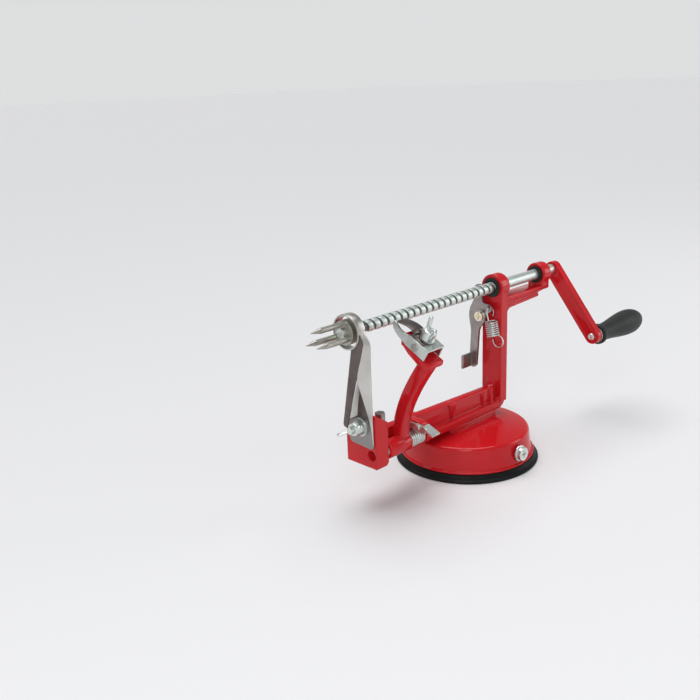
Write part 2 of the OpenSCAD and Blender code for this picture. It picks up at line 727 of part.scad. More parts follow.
// Cast arm that bows outward from its pivot to the head
module peeler_arm() color(red)
    difference() {
        union() {
            yz_plate(arm_front, arm_t) polygon(concat(
                [for (i = [0:arm_steps]) arm_side(i, 1)],
                [for (i = [arm_steps:-1:0]) arm_side(i, -1)]));
            along_x(block_back + 1.2, hub_r, arm_back - block_back - 1.2, pivot_y, pivot_z);
            at_head() translate([-holder_w / 2 + holder_t + 0.2, -3.4, slab_z])
                cube([holder_w - 2 * holder_t - 0.4, 16, slab_top - slab_z]);
            at_head() yz_plate(-6.6, 13.2) polygon([
                [-15.5, -flange_drop - 0.3], [13.5, -flange_drop - 0.3], [11.5, -10.6], [4, -13],
                [-7, -14.5], [-14.5, -13], [-16, -11]]);
        }
        along_x(-200, rod_r + 0.05, 200, pivot_y, pivot_z);
        at_head() translate([0, 0, clamp_foot - seat]) cylinder(r = clamp_r + seat, h = 10);
        at_head() along_x(-20, 1.6 + seat, 40, 1, -4.8);
        along_x(arm_back - 6, catch_pin_r + seat, 10, catch_y, catch_z);
    }

catch_angle = 70;
catch_y = pivot_y + catch_r * cos(catch_angle);
catch_z = pivot_z + catch_r * sin(catch_angle);

// Pin behind the arm that the latch catches when the arm is swung out
module catch_pin() color(zinc)
    along_x(arm_back - 6, catch_pin_r, 6 + latch_lug_x - arm_back - 0.3, catch_y, catch_z);

// Torsion spring round the pivot rod, with one leg down to the rail and one up
coil_r = 5;
coil_wire = 0.7;
coil_rise = 1.95;
coil_x = arm_back + 1.1;
function coil_at(a) = [coil_x + coil_rise * a / 360, pivot_y - coil_r * sin(a), pivot_z - coil_r * cos(a)];
coil_end = coil_at(360 * arm_curls - 180);
arm_path = concat(
    [[coil_x - 0.6, pivot_y + coil_r + 0.6, pivot_z + 10], [coil_x - 0.5, pivot_y + coil_r + 0.3, pivot_z + 5]],
    [for (i = [-2:8 * arm_curls - 4]) coil_at(360 * i / 8)],
    [[coil_end[0] + 0.2, pivot_y + 4, coil_end[2] - 0.1],
     [coil_end[0] + 0.3, -web_t / 2 - 0.1, coil_end[2] - 0.5]]);

module arm_spring() color(steel) wire(arm_path, coil_wire);

// Sheet steel channel on the arm's head, with a curved finger towards the screw
module blade_holder() color(zinc)
    at_head() difference() {
        union() {
            translate([-holder_w / 2, holder_out, -holder_t]) cube([holder_w, holder_l, holder_t]);
            for (x = [-holder_w / 2, holder_w / 2 - holder_t])
                translate([x, holder_out, -flange_drop]) cube([holder_t, holder_l, flange_drop]);
            yz_plate(-holder_w / 2, holder_t) polygon([
                [holder_in - 1, 0], [holder_in - 1, -flange_drop], [15.7, -7], [19.5, -5.8], [22.3, -4.2],
                [24, -1.6], [23.4, 1.2], [21, 0], [17.5, -1.2], [14.5, -1.5], [11.5, -1]]);
        }
        translate([0, 0, clamp_foot]) cylinder(r = clamp_r + seat, h = 10);
        along_x(-20, 1.6 + seat, 40, 1, -4.8);
    }

// Rivet through the holder and the arm's head
module holder_rivet() color(zinc)
    at_head() union() {
        along_x(-holder_w / 2 - 0.9, 2.6, 0.9, 1, -4.8);
        along_x(-holder_w / 2 - 0.5, 1.6, holder_w + 1, 1, -4.8);
        along_x(holder_w / 2, 2.6, 0.9, 1, -4.8);
    }

// Peeling blade: a humped steel strip, clamped on the holder
module peeler_blade() color(steel)
    at_head() difference() {
        yz_plate(-holder_w / 2 + holder_t + 0.1, 9.8) polygon([
            [-4, 0], [5.4, 0], [8.4, 3], [23.2, -0.6], [23.2, 0.2], [8.2, 3.9], [5, blade_sheet],
            [-4, blade_sheet]]);
        translate([0, 0, clamp_foot]) cylinder(r = clamp_r + seat, h = 10);
    }

// Stud in the arm's head that the blade is clamped on
module blade_stud() color(zinc)
    at_head() translate([0, 0, clamp_foot]) cylinder(r = clamp_r, h = 8 - clamp_foot);

module blade_washer() color(zinc)
    at_head() difference() {
        translate([0, 0, blade_sheet]) cylinder(r = 4.6, h = 1);
        translate([0, 0, -2]) cylinder(r = clamp_r + seat, h = 10);
    }

// Wing nut along +Z from the origin: a coned hub with two ears
module wing_nut(bore, h, span, ear) {
    difference() {
        union() {
            cylinder(r1 = bore + 3.2, r2 = bore + 2, h = h);
            for (s = [0, 180])
                rotate(s) rotate([90, 0, 0]) translate([0, 0, -0.9]) linear_extrude(1.8) polygon(concat(
                    [[bore + 1, 1], [bore + 3.4, 0.8]],
                    arc_points([span - 2, ear - 2], 2, -30, 120),
                    [[bore + 1, h - 0.5]]));
        }
        translate([0, 0, -1]) cylinder(r = bore + seat, h = h + 2);
    }
}

module blade_wing_nut() color(zinc)
    at_head() translate([0, 0, blade_sheet + 1]) rotate(54) wing_nut(clamp_r, 6.5, 9.5, 12.5);

// Latch plate with a nose over the catch pin and a folded thumb tab
module arm_latch() color(zinc)
    difference() {
        union() {
            yz_plate(latch_x, latch_t) {
                link([latch_y, latch_z], [pivot_y - 1.6, latch_z], 2.2);
                translate([pivot_y - 1.8, latch_z - 2.5]) square([1.8, 3]);
                link([latch_y, latch_z], [latch_y - 5.5, latch_z - 1.2], 2.6);
            }
            translate([latch_x, latch_y - 4.2, latch_z + 1.4]) rotate([21, 0, 0])
                translate([0, -11, -latch_t]) cube([7.5, 11, latch_t]);
        }
        along_x(latch_x - 1, 1.55, 20, latch_y, latch_z);
    }

module latch_pin() color(zinc)
    union() {
        along_x(latch_x - 1.1, 2.4, 1, latch_y, latch_z);
        along_x(latch_x - 0.5, 1.5, latch_t + latch_lug_t + 0.8, latch_y, latch_z);
    }

// Slicer: coring ring, slanted slicing strip, two folded sides and the clamped foot
module sheet_edge(a, b, t) {
    for (p = [a, b])
        translate(p) cube(t, center = true);
}

module slicer_blade() color(steel) {
    ring_x = block_x - 7.4;
    front = ring_x + blade_t / 2 + 0.4;
    back = block_x - blade_t / 2;
    ring_low = shaft_h - ring_d / 2;
    difference() {
        union() {
            along_x(ring_x, ring_d / 2, ring_l, 0, shaft_h);
            yz_plate(front - blade_t / 2, blade_t) polygon(concat(
                [[-15, shaft_h - 6], [-10, shaft_h - 24], [1.6, 64]],
                arc_points([4, 62.8], 2.4, 180, 380),
                [[-4.6, ring_low + 0.8], [-9, shaft_h - 5]]));
            hull() {
                sheet_edge([front, -11.5, shaft_h - 1], [back - 0.4, -11.5, shaft_h - 1], blade_t - 0.25);
                sheet_edge([front, -14.2, shaft_h - 6.8], [back, slicer_near + 0.2, shaft_h - 6.8],
                    blade_t - 0.25);
            }
            hull() {
                sheet_edge([front, -14.4, shaft_h - 6.6], [front, -9.6, shaft_h - 24], blade_t - 0.1);
                sheet_edge([back, slicer_near, shaft_h - 6.6], [back, slicer_near, shaft_h - 27], blade_t - 0.1);
            }
            hull() {
                sheet_edge([front, -9.5, shaft_h - 24.2], [back, slicer_near + 0.1, shaft_h - 26.8], blade_t - 0.2);
                sheet_edge([back, -12, 62.2], [back, slicer_near + 0.1, 62.2], blade_t - 0.2);
            }
            hull() {
                sheet_edge([front, -9.2, shaft_h - 25.2], [front, 1.2, 67.5], blade_t - 0.15);
                sheet_edge([back, -4, 88], [back, -1, 68.6], blade_t - 0.15);
            }
            yz_plate(block_x - blade_t, blade_t) {
                link([-12.5, 50.4], [3.6, 51.4], 3.5);
                translate([-16, 50.4]) square([23.1, 17]);
                polygon([[-16, 67], [0.5, 67], [-3.1, 88], [-6, 91], [-16, 91]]);
            }
        }
        along_x(ring_x - 1, ring_d / 2 - blade_t, ring_l + 2, 0, shaft_h);
        along_x(block_x - 5, stud_r + seat, 10, stud_y, stud_z);
    }
}

module slicer_stud() color(zinc)
    along_x(block_x - 12, stud_r, 12 + block_t - 1, stud_y, stud_z);

module slicer_washer() color(zinc)
    difference() {
        along_x(block_x - blade_t - 1.2, 6.6, 1.2, stud_y, stud_z);
        along_x(block_x - blade_t - 3, stud_r + seat, 6, stud_y, stud_z);
    }

module slicer_wing_nut() color(zinc)
    translate([block_x - blade_t - 1.2, stud_y, stud_z]) rotate([0, -90, 0]) rotate(118)
        wing_nut(stud_r, 7, 13, 12);

echo(release_spring_gap = wire_gap(release_path, spring_wire, 5));
echo(arm_spring_gap = wire_gap(arm_path, coil_wire, 5));

suction_cup();
base_cover();
cup_stud();
lever_axle();
suction_lever();
lever_pin();
axle_washer();
axle_screw();
base_screws();
frame();
front_bush();
rear_bush();
feed_screw();
fork_hub();
fork_prongs();
fork_screw();
crank_arm();
crank_nut();
crank_pin();
knob_washer();
crank_knob();
release_lever();
lever_pivot_screw();
lever_washer();
release_spring();
pivot_rod();
pivot_washer();
pivot_set_screw();
peeler_arm();
arm_spring();
blade_holder();
holder_rivet();
peeler_blade();
blade_stud();
blade_washer();
blade_wing_nut();
catch_pin();
arm_latch();
latch_pin();
slicer_blade();
slicer_stud();
slicer_washer();
slicer_wing_nut();
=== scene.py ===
from math import acos, atan2, cos, degrees, pi, radians, sin

import bpy
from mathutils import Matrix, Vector


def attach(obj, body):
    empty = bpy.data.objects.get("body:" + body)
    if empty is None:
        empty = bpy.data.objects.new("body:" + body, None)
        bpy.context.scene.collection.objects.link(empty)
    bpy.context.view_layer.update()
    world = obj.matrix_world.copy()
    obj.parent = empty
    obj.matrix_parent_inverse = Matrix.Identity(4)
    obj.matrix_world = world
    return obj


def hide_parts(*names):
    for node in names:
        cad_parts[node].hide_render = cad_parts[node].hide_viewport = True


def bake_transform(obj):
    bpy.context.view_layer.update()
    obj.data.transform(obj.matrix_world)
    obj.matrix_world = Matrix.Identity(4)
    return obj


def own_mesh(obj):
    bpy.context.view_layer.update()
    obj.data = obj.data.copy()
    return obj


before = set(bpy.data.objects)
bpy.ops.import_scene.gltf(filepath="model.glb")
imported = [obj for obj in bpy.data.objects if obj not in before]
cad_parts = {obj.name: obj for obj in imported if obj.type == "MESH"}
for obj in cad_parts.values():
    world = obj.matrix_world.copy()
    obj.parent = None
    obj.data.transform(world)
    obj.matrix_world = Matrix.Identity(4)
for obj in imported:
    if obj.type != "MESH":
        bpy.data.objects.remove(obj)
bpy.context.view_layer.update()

# Studio: a pale table top under one broad soft light, with a tall soft box at each front
# corner, as for a catalogue picture. The room is bright low down and dim overhead. The
# camera stands left of the machine, a little above it, where the photograph was taken from.
bpy.ops.object.select_all(action="DESELECT")
bpy.ops.object.camera_add(
    location=(-0.4910, -0.3935, 0.2846),
    rotation=(radians(72.577), radians(2.323), radians(-43.972)))
camera = bpy.context.object
camera.data.sensor_width = 36
camera.data.lens = 44.44
camera.data.clip_start = 0.01
bpy.context.scene.camera = camera
bpy.context.scene.view_settings.view_transform = "Standard"


def soft_box(name, place, aim, width, height, watts):
    """A soft lamp of that size in metres, turned towards a point."""
    bpy.ops.object.light_add(type="AREA", location=place)
    lamp = bpy.context.object
    lamp.name = name
    lamp.data.shape = "RECTANGLE"
    lamp.data.size, lamp.data.size_y = width, height
    lamp.data.energy = watts
    lamp.rotation_euler = (Vector(aim) - Vector(place)).to_track_quat("-Z", "Y").to_euler()


bpy.ops.object.light_add(type="SUN", rotation=(radians(-11), radians(4), 0))
overhead = bpy.context.object
overhead.name = "overhead_light"
overhead.data.energy, overhead.data.angle = 2.35, radians(54)
middle = (0.0, 0.0, 0.08)
soft_box("left_box", (-1.0, -0.75, 0.75), middle, 0.5, 0.9, 4.6)
soft_box("right_box", (0.9, -0.7, 0.5), middle, 0.4, 0.8, 2.6)

bpy.ops.mesh.primitive_plane_add(size=40)
table = bpy.context.object
table.name = "table_top"
table_paint = bpy.data.materials.new("pale_table")
table_paint.use_nodes = True
table_shader = table_paint.node_tree.nodes["Principled BSDF"]
table_shader.inputs["Base Color"].default_value = (0.72, 0.72, 0.73, 1)
table_shader.inputs["Roughness"].default_value = 0.6
table.data.materials.append(table_paint)

room = bpy.data.worlds.new("pale_room")
bpy.context.scene.world = room
room.use_nodes = True
room_nodes, room_links = room.node_tree.nodes, room.node_tree.links
height = room_nodes.new("ShaderNodeSeparateXYZ")
room_links.new(room_nodes.new("ShaderNodeTexCoord").outputs["Generated"], height.inputs[0])
walls = room_nodes.new("ShaderNodeValToRGB")
low_wall, high_wall = walls.color_ramp.elements
low_wall.position, low_wall.color = 0.08, (0.73, 0.735, 0.74, 1)
high_wall.position, high_wall.color = 0.45, (0.24, 0.245, 0.255, 1)
room_links.new(height.outputs["Z"], walls.inputs[0])
room_links.new(walls.outputs[0], room_nodes["Background"].inputs["Color"])

# Suction cup: one moulding of soft black rubber, domed underneath, with a flat sealing
# ring, a bead round the rim and a mould line above it. The cover stands on it.
MM = 0.001
X, Y, Z = Vector((1, 0, 0)), Vector((0, 1, 0)), Vector((0, 0, 1))


class Value:
    """A value in a finish's node tree. Sums and products of it become Math nodes."""

    def __init__(self, tree, socket):
        self.tree, self.socket = tree, socket

    def node(self, kind, settings, inputs, out=0):
        made = self.tree.nodes.new("ShaderNode" + kind)
        for key, value in settings.items():
            if key == "stops":
                for stop, (position, colour) in zip(made.color_ramp.elements, value):
                    stop.position, stop.color = position, colour
            else:
                setattr(made, key, value)
        for key, value in inputs.items():
            if isinstance(value, Value):
                self.tree.links.new(value.socket, made.inputs[key])
            else:
                made.inputs[key].default_value = value
        return Value(self.tree, made.outputs[out])

    def math(self, operation, a, b):
        return self.node("Math", {"operation": operation}, {0: a, 1: b})

    def __add__(self, other):
        return self.math("ADD", self, other)

    def __sub__(self, other):
        return self.math("SUBTRACT", self, other)

    def __rsub__(self, other):
        return self.math("SUBTRACT", other, self)

    def __mul__(self, other):
        return self.math("MULTIPLY", self, other)

    def __pow__(self, other):
        return self.math("POWER", self, other)

    __radd__, __rmul__ = __add__, __mul__

    def axis(self, number):
        """One coordinate of a place: 0, 1 or 2 for X, Y or Z."""
        return self.node("SeparateXYZ", {}, {0: self}, number)

    def noise(self, scale, detail=2, stretch=(1, 1, 1)):
        spread = self.node("Mapping", {}, {"Vector": self, "Scale": stretch})
        return self.node("TexNoise", {}, {"Vector": spread, "Scale": scale, "Detail": detail})

    def between(self, low, high):
        """A colour from low to high as this value goes from 0.3 to 0.7."""
        return self.node("ValToRGB", {"stops": [(0.3, (*low, 1)), (0.7, (*high, 1))]}, {0: self})

    def relief(self, depth, strength, rounding):
        """Surface relief of that depth in metres, over edges rounded off by that radius."""
        soft = self.node("Bevel", {"samples": 6}, {"Radius": rounding})
        return self.node("Bump", {}, {
            "Strength": strength, "Distance": depth, "Height": self, "Normal": soft})


def finish(name, **fixed):
    """A new finish: its material, its shader and the place on the piece."""
    material = bpy.data.materials.new(name)
    material.use_nodes = True
    tree = material.node_tree
    shader = tree.nodes["Principled BSDF"]
    for key, value in fixed.items():
        shader.inputs[key.replace("_", " ")].default_value = value
    return material, shader, Value(tree, tree.nodes.new("ShaderNodeTexCoord").outputs["Object"])


def feed(shader, **sockets):
    """Links what changes over the surface to the shader."""
    for key, value in sockets.items():
        value.tree.links.new(value.socket, shader.inputs[key.replace("_", " ")])


rubber, shader, place = finish("black_rubber", Specular_IOR_Level=0.13)
feed(shader,
     Base_Color=place.noise(45, 4).between((0.004, 0.0045, 0.0045), (0.010, 0.011, 0.011)),
     Roughness=place.noise(160, 3) * 0.3 + 0.36,
     Normal=place.noise(2200, 3).relief(0.00006, 0.35, 0.0004))


def trace(name, points):
    """Draws a chain of edges through points in millimetres, and stays in edit mode."""
    bpy.ops.object.select_all(action="DESELECT")
    bpy.ops.mesh.primitive_plane_add(size=MM)
    piece = bpy.context.object
    piece.name = piece.data.name = name
    bpy.ops.object.mode_set(mode="EDIT")
    bpy.ops.mesh.merge(type="CENTER")
    bpy.ops.transform.translate(value=Vector(points[0]) * MM)
    for a, b in zip(points, points[1:]):
        step = (Vector(b) - Vector(a)) * MM
        bpy.ops.mesh.extrude_region_move(TRANSFORM_OT_translate={"value": step})
    bpy.ops.mesh.select_all(action="SELECT")
    return piece


def close_up(piece, edge):
    """Closes the mesh, turns its faces outwards and rounds its sharp edges."""
    bpy.ops.mesh.select_all(action="SELECT")
    bpy.ops.mesh.remove_doubles(threshold=0.002 * MM)
    bpy.ops.mesh.normals_make_consistent(inside=False)
    bpy.ops.object.mode_set(mode="OBJECT")
    if edge:
        bevel = piece.modifiers.new("rounded edges", "BEVEL")
        bevel.width, bevel.segments = edge * MM, 3
        bevel.limit_method, bevel.angle_limit = "ANGLE", radians(32)
        bpy.ops.object.modifier_apply(modifier=bevel.name)
    bpy.ops.object.shade_smooth_by_angle(angle=radians(31))
    return piece


def turned(name, profile, centre, along, out, edge=0, steps=96):
    """Spins a profile of (radius, height) pairs round an axis, all in millimetres."""
    centre, along, out = Vector(centre), Vector(along), Vector(out)
    piece = trace(name, [centre + out * r + along * h for r, h in profile])
    bpy.ops.mesh.spin(steps=steps, angle=2 * pi, center=centre * MM, axis=along)
    return close_up(piece, edge)


def fit(piece, material, slot, body, *nodes):
    """Paints a finished piece and puts it in place of its solids."""
    piece.data.materials.clear()
    piece.data.materials.append(material)
    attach(piece, body)
    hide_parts(*nodes)


underside = [(0, 4.4), (14, 4.2), (26, 3.5), (36, 2.6), (44, 1.3), (49, 0.4)]
sealing_ring = [(50.5, 0), (54.0, 0)]
bead = [(54.7, 0.3), (55, 0.9), (54.9, 1.6), (54.3, 2.1), (53.6, 2.5), (53.2, 2.8)]
mould_line = [(53.25, 3.1), (53.05, 3.5)]
upper_side = [(52.5, 4.4), (52.0, 5.2), (51.6, 5.7), (44.9, 5.7), (41.9, 6.9), (27, 7.7), (12, 8.4),
              (0, 8.4)]
rubber_cup = turned("rubber_cup", underside + sealing_ring + bead + mould_line + upper_side,
                    (0, 0, 0), Z, X, steps=128)
fit(rubber_cup, rubber, "rubber", "base", "suction_cup")
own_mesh(rubber_cup)

# Base cover: deep drawn from sheet steel, with a rolled flange at the foot, a gently
# domed top and a long pad that carries the frame. Sprayed with thick glossy red enamel.
top_r, top_z, crown = 45.25, 25, 2.4
axle_z, rail_foot = 15.3, 30.6
red, shader, place = finish("red_enamel", Specular_IOR_Level=0.28)
feed(shader,
     Base_Color=place.noise(22, 3).between((0.48, 0.008, 0.012), (0.58, 0.012, 0.018)),
     Roughness=place.noise(90, 3) * 0.1 + 0.06,
     Normal=place.noise(330, 2).relief(0.00018, 0.16, 0.0011))


def arc(centre, r, a0, a1, n=10):
    """Points on an arc from one angle to another, in degrees."""
    angles = [radians(a0 + (a1 - a0) * i / n) for i in range(n + 1)]
    return [(centre[0] + r * cos(a), centre[1] + r * sin(a)) for a in angles]


def bar(a, b, r, n=10):
    """Outline of a flat bar from a to b with round ends."""
    turn = degrees(atan2(b[1] - a[1], b[0] - a[0]))
    return arc(b, r, turn - 90, turn + 90, n) + arc(a, r, turn + 90, turn + 270, n)


def drill(piece, point, along, r, length):
    """Drills a round hole from a point along an axis, in millimetres."""
    bpy.ops.object.select_all(action="DESELECT")
    bpy.ops.mesh.primitive_cylinder_add(
        vertices=48, radius=r * MM, depth=length * MM,
        location=(Vector(point) + along * length / 2) * MM,
        rotation=along.to_track_quat("Z", "Y").to_euler())
    bit = bpy.context.object
    hole = piece.modifiers.new("hole", "BOOLEAN")
    hole.object, hole.operation, hole.solver = bit, "DIFFERENCE", "EXACT"
    bpy.context.view_layer.objects.active = piece
    bpy.ops.object.modifier_apply(modifier=hole.name)
    bpy.data.objects.remove(bit)


def reopen(piece):
    """Takes up one piece alone and goes into edit mode on it."""
    bpy.ops.object.select_all(action="DESELECT")
    piece.select_set(True)
    bpy.context.view_layer.objects.active = piece
    bpy.ops.object.mode_set(mode="EDIT")


def slab(name, outline, across, low, high, edge, holes=()):
    """A flat outline pulled up to a slab across one axis, drilled, with rounded edges."""
    along, spread = {
        "x": (X, lambda a, b: (low, a, b)),
        "y": (Y, lambda a, b: (a, low, b)),
        "z": (Z, lambda a, b: (a, b, low))}[across]
    piece = trace(name, [spread(*p) for p in outline])
    bpy.ops.mesh.edge_face_add()
    rise = along * (high - low) * MM
    bpy.ops.mesh.extrude_region_move(TRANSFORM_OT_translate={"value": rise})
    if holes:
        close_up(piece, 0)
        for a, b, r in holes:
            drill(piece, Vector(spread(a, b)) - along, along, r, high - low + 2)
        reopen(piece)
    return close_up(piece, edge)


def joined(name, *pieces):
    """Makes one piece of several."""
    bpy.ops.object.select_all(action="DESELECT")
    for piece in pieces:
        piece.select_set(True)
    bpy.context.view_layer.objects.active = pieces[0]
    bpy.ops.object.join()
    pieces[0].name = pieces[0].data.name = name
    return pieces[0]


flange = [(47.9, 6), (51.1, 6), (51.4, 6.15), (51.5, 6.5), (51.5, 7.0), (51.35, 7.3), (51.0, 7.4),
          (50.0, 7.45), (49.6, 7.6), (49.45, 8.0)]
corner = (top_r, 22.5)
dome = [(top_r * f, top_z + crown * (1 - f * f)) for f in [1 - i / 14 for i in range(1, 15)]]
inside = [(r * 0.99, z - 1.6) for r, z in dome[::-1]] + arc(corner, 0.9, 90, 5, 4)
cover_shell = turned("cover_shell", flange + arc(corner, 2.5, 5, 90) + dome + inside + flange[:1],
                     (0, 0, 0), Z, X, steps=128)
drill(cover_shell, (0, -60, axle_z), Y, 3.08, 120)
cover_pad = slab("cover_pad", bar((-18, 0), (26, 0), 7), "z", 24.5, rail_foot, 0.8)
fit(joined("cover", cover_shell, cover_pad), red, "red_enamel", "base", "base_cover")

# Suction lever: a cast strip in red enamel, bent round the far side of the cover and pinned
# on the axle. Lifting it turns the eccentric inside and lets the cup go.
lever_in, lever_out, lever_half, wrap = 52.2, 55.2, 4, radians(52)


def tube(bore, r, length):
    """Profile of a turned tube, or of a plain disc where the bore is 0."""
    wall = [(bore, 0), (r, 0), (r, length), (bore, length)]
    return wall + wall[:1] if bore else wall


band = trace("lever_strip", [
    (0, lever_in, axle_z - lever_half), (0, lever_out, axle_z - lever_half),
    (0, lever_out, axle_z + lever_half), (0, lever_in, axle_z + lever_half)])
bpy.ops.mesh.edge_face_add()
bpy.ops.mesh.spin(steps=24, angle=wrap, center=(0, 0, 0), axis=Z)
close_up(band, 0.7)
boss = turned("lever_boss", tube(3.02, 5.6, 4), (0, lever_in, axle_z), Y, Z, 0.5, 48)
away = Vector((sin(wrap), cos(wrap), 0))
thumb = turned("lever_thumb", tube(0, 6.5, 3), away * lever_in + Z * axle_z, away, Z, 0.8, 48)
fit(joined("cup_lever", band, boss, thumb), red, "red_enamel", "suction", "suction_lever")

# Axle, pins and screws of the base: turned from steel bar and plated with bright zinc,
# which has a faint green and straw cast and a slightly cloudy shine.
zinc, shader, place = finish("bright_zinc", Metallic=1.0)
feed(shader,
     Base_Color=place.noise(120, 3).between((0.60, 0.65, 0.62), (0.76, 0.80, 0.77)),
     Roughness=place.noise(260, 4) * 0.16 + 0.26,
     Normal=place.noise(1200, 2).relief(0.00003, 0.06, 0.0004))


def plate(material, *nodes):
    """Gives solids that keep their shape their finish."""
    for name in nodes:
        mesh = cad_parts[name].data
        mesh.materials.clear()
        mesh.materials.append(material)


plate(zinc, "lever_axle", "lever_pin", "axle_washer", "axle_screw", "cup_stud", "base_screws")

# Frame: one aluminium casting in red enamel, with soft edges all round. A flanged rail with
# ribs carries the block for the blades in front and the post with its two bearing loops.
shaft_z = 128
pivot_y, pivot_z = -12.8, 41.8
latch_y, latch_z = -21.2, 53.6
release_y, release_z = 5.8, 106
peg_y, peg_z = -7.4, 83.9
rail_front, rail_top, rail_half, heel_r = -107, 36.8, 8, 8
web_front, web_half, fillet_r = -109, 3.5, 6
post_front, post_back = 31, 39.2
bar_front, bar_back, gusset_low, gusset_r = 33, 90, 99.9, 11
block_front, block_back = -117, -105

rail = slab("rail", [(rail_front, rail_top), (rail_front, rail_foot)] +
            arc((post_back - heel_r, rail_foot + heel_r), heel_r, -90, 0) +
            [(post_back, 40.8), (post_front, 40.8), (27, rail_top)], "y", -rail_half, rail_half, 1.3)
web = slab("web", [(web_front, 31.6), (30.2, 31.6), (37.2, 39.6), (37.2, 48.4)] +
           arc((post_front - fillet_r, 54.4), fillet_r, 0, -90) + [(web_front, 52.6)],
           "y", -web_half, web_half, 1.3)
ribs, rib_foot = [], rail_top - 0.5
for side, high in ((-web_half, 49.6), (web_half, 46.4)):
    for rib_x, edge, rib in (
            (-22.4, 1.0, [(0.8, rib_foot), (4, high), (0, high)]),
            (15, 0.8, [(0.8, rib_foot), (2.6, high - 2), (0, high - 2)]),
            (25.4, 0, [(2.4, rib_foot)] + arc((0, high - 2), 2.4, 0, 90))):
        ribs.append(turned("rib", [(0, rib_foot)] + rib, (rib_x, side, 0), Z, X, edge, 32))


def bearing(half, low, r, n):
    """Outline of a bearing: a stem of that half width, with a round head on the shaft."""
    lean = degrees(acos(half / r))
    return [(half, low)] + arc((0, shaft_z), r, -lean, 180 + lean, n) + [(-half, low)]


post = slab("post", bearing(9, 36, 10, 40), "x", post_front, post_back, 1.4, [(0, shaft_z, 6.95)])
front_loop = turned("front_loop", tube(6.97, 9.9, 3), (38, 0, shaft_z), X, Z, 0.9)
rear_loop = slab("rear_loop", bearing(7, 115.6, 9, 32), "x", 88, 98, 1.2, [(0, shaft_z, 6.25)])
bar_top = slab("bar_top", [
    (bar_front, 119.2), (bar_front, 115.4), (bar_back, 115.8), (bar_back, 119.2)],
    "y", -6.95, 6.95, 0.7)
bar_core = slab("bar_core", [
    (bar_front, 118.5), (bar_front, 110.4), (39.4, 110.4), (82.2, 112.4), (84.4, 115),
    (bar_back, 115.4), (bar_back, 118.5)], "y", -6.1, 6.1, 0)
bar_foot = slab("bar_foot", [
    (bar_front, 111.8), (bar_front, 109.7), (post_back, 109.7), (82.8, 111.7), (84.4, 113.3),
    (82.4, 113.7), (post_back, 111.8)], "y", -6.9, 6.9, 0.5)
gusset = slab("gusset", [(37, 112), (37, gusset_low), (post_back, gusset_low)] +
              arc((post_back + gusset_r, gusset_low), gusset_r, 180, 90) +
              [(post_back + gusset_r, 112)], "y", -6.8, 6.8, 0.8)
block = slab("block", [
    (block_front, 32.6), (block_back - 2, 32.6), (block_back, 34.6), (block_back, 64),
    (-115.5, 71), (block_front, 71)], "y", -17.2, 11, 0)
drill(block, (block_front - 1, pivot_y, pivot_z), X, 3.7, 7)
drill(block, (block_front - 1, pivot_y, pivot_z), X, 2.52, 16)
drill(block, (-107.6, -12.4, 64.4), Z, 4, 20)
reopen(block)
close_up(block, 1.1)
lug = slab("lug", arc((pivot_y, pivot_z), 6.5, 25, 335, 28) + [(0, pivot_z - 3), (0, pivot_z + 3)],
           "x", -67.5, -61, 0.8, [(pivot_y, pivot_z, 2.52)])
latch_lug = slab("latch_lug", bar((latch_y, latch_z), (-1, latch_z), 3.4), "x", -78.9, -72.9, 0.8,
                 [(latch_y, latch_z, 1.52)])
lever_boss = turned("lever_boss", tube(2.02, 4.5, 6), (27.3, release_y, release_z), X, Z, 0.5, 48)
spring_peg = turned("spring_peg", tube(0, 1.6, 3.4), (28.6, peg_y, peg_z), X, Z, 0.4, 32)
casting = joined("frame_casting", rail, web, *ribs, post, front_loop, rear_loop, bar_top, bar_core,
                 bar_foot, gusset, block, lug, latch_lug, lever_boss, spring_peg)
fit(casting, red, "red_enamel", "base", "frame")

# Bushes: two moulded sleeves of black plastic, pressed into the frame's loops. The shaft
# turns and slides in them.
black, shader, place = finish("black_plastic", Specular_IOR_Level=0.3)
feed(shader,
     Base_Color=place.noise(70, 3).between((0.011, 0.013, 0.012), (0.022, 0.025, 0.023)),
     Roughness=place.noise(420, 3) * 0.2 + 0.40,
     Normal=place.noise(2600, 2).relief(0.00005, 0.3, 0.0005))
plate(black, "front_bush", "rear_bush")

# Feed screw: a plated steel shaft with a rolled square thread, plain behind the post. The
# groove is timed to meet the release lever's finger, and shade is painted dark down in it.
pitch, groove, margin = 6.5, 2.2, 2
finger_x, thread_front, thread_back = 26, -117, 34.5
root_r, crest_r, neck_r = 3.2, 4.2, 3
first_x = finger_x - pitch / 4 - groove / 2
first_x -= pitch * ((first_x - thread_front - margin) // pitch)
turns = int((thread_back - margin - groove - first_x) // pitch)
last_x = first_x + pitch * turns + margin

